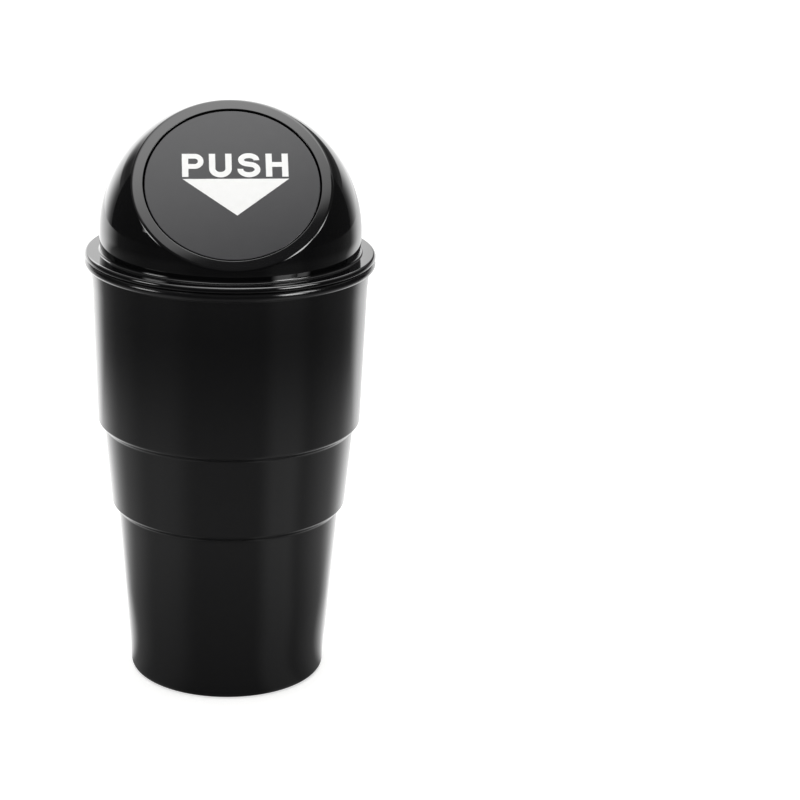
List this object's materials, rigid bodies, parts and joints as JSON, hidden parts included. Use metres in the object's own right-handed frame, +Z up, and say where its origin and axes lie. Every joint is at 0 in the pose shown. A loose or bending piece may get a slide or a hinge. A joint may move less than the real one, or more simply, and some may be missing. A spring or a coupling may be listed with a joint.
{
  "type": "car trash bin",
  "caption": "Small cup-holder bin: stepped tapered cup, domed lift-off lid and a sprung round push flap in its slanted face.",
  "frame": {"origin": "centre of the foot, on the surface that the bin stands on", "axes": "+Z up along the cup's axis; the push flap faces -Y; +X is to the right when the flap is faced"},
  "size_m": [0.088, 0.088, 0.1807],
  "materials": {
    "cup": "polished injection-moulded polypropylene, black",
    "lid": "high-gloss injection-moulded ABS, black",
    "flap": "finely spark-eroded satin, black, with a white printed mark",
    "pin": "drawn steel wire",
    "spring": "drawn spring wire"
  },
  "bodies": {
    "cup": {"cup": "cup"},
    "lid": {"lid_dome": "lid", "hinge_pin": "pin", "return_spring": "spring"},
    "flap": {"push_flap": "flap"}
  },
  "joints": [
    {"name": "lid_lift", "type": "slide", "parent": "cup", "child": "lid", "axis": [0, 0, 1], "range_m": [0, 0.06]},
    {"name": "flap_push", "type": "hinge", "parent": "lid", "child": "flap", "pos_m": [0, -0.00271, 0.16966], "axis": [1, 0, 0], "range_deg": [0, 75], "stiffness_Nm_per_rad": 0.006, "springref_deg": -40.11, "deforming": ["return_spring"]}
  ]
}
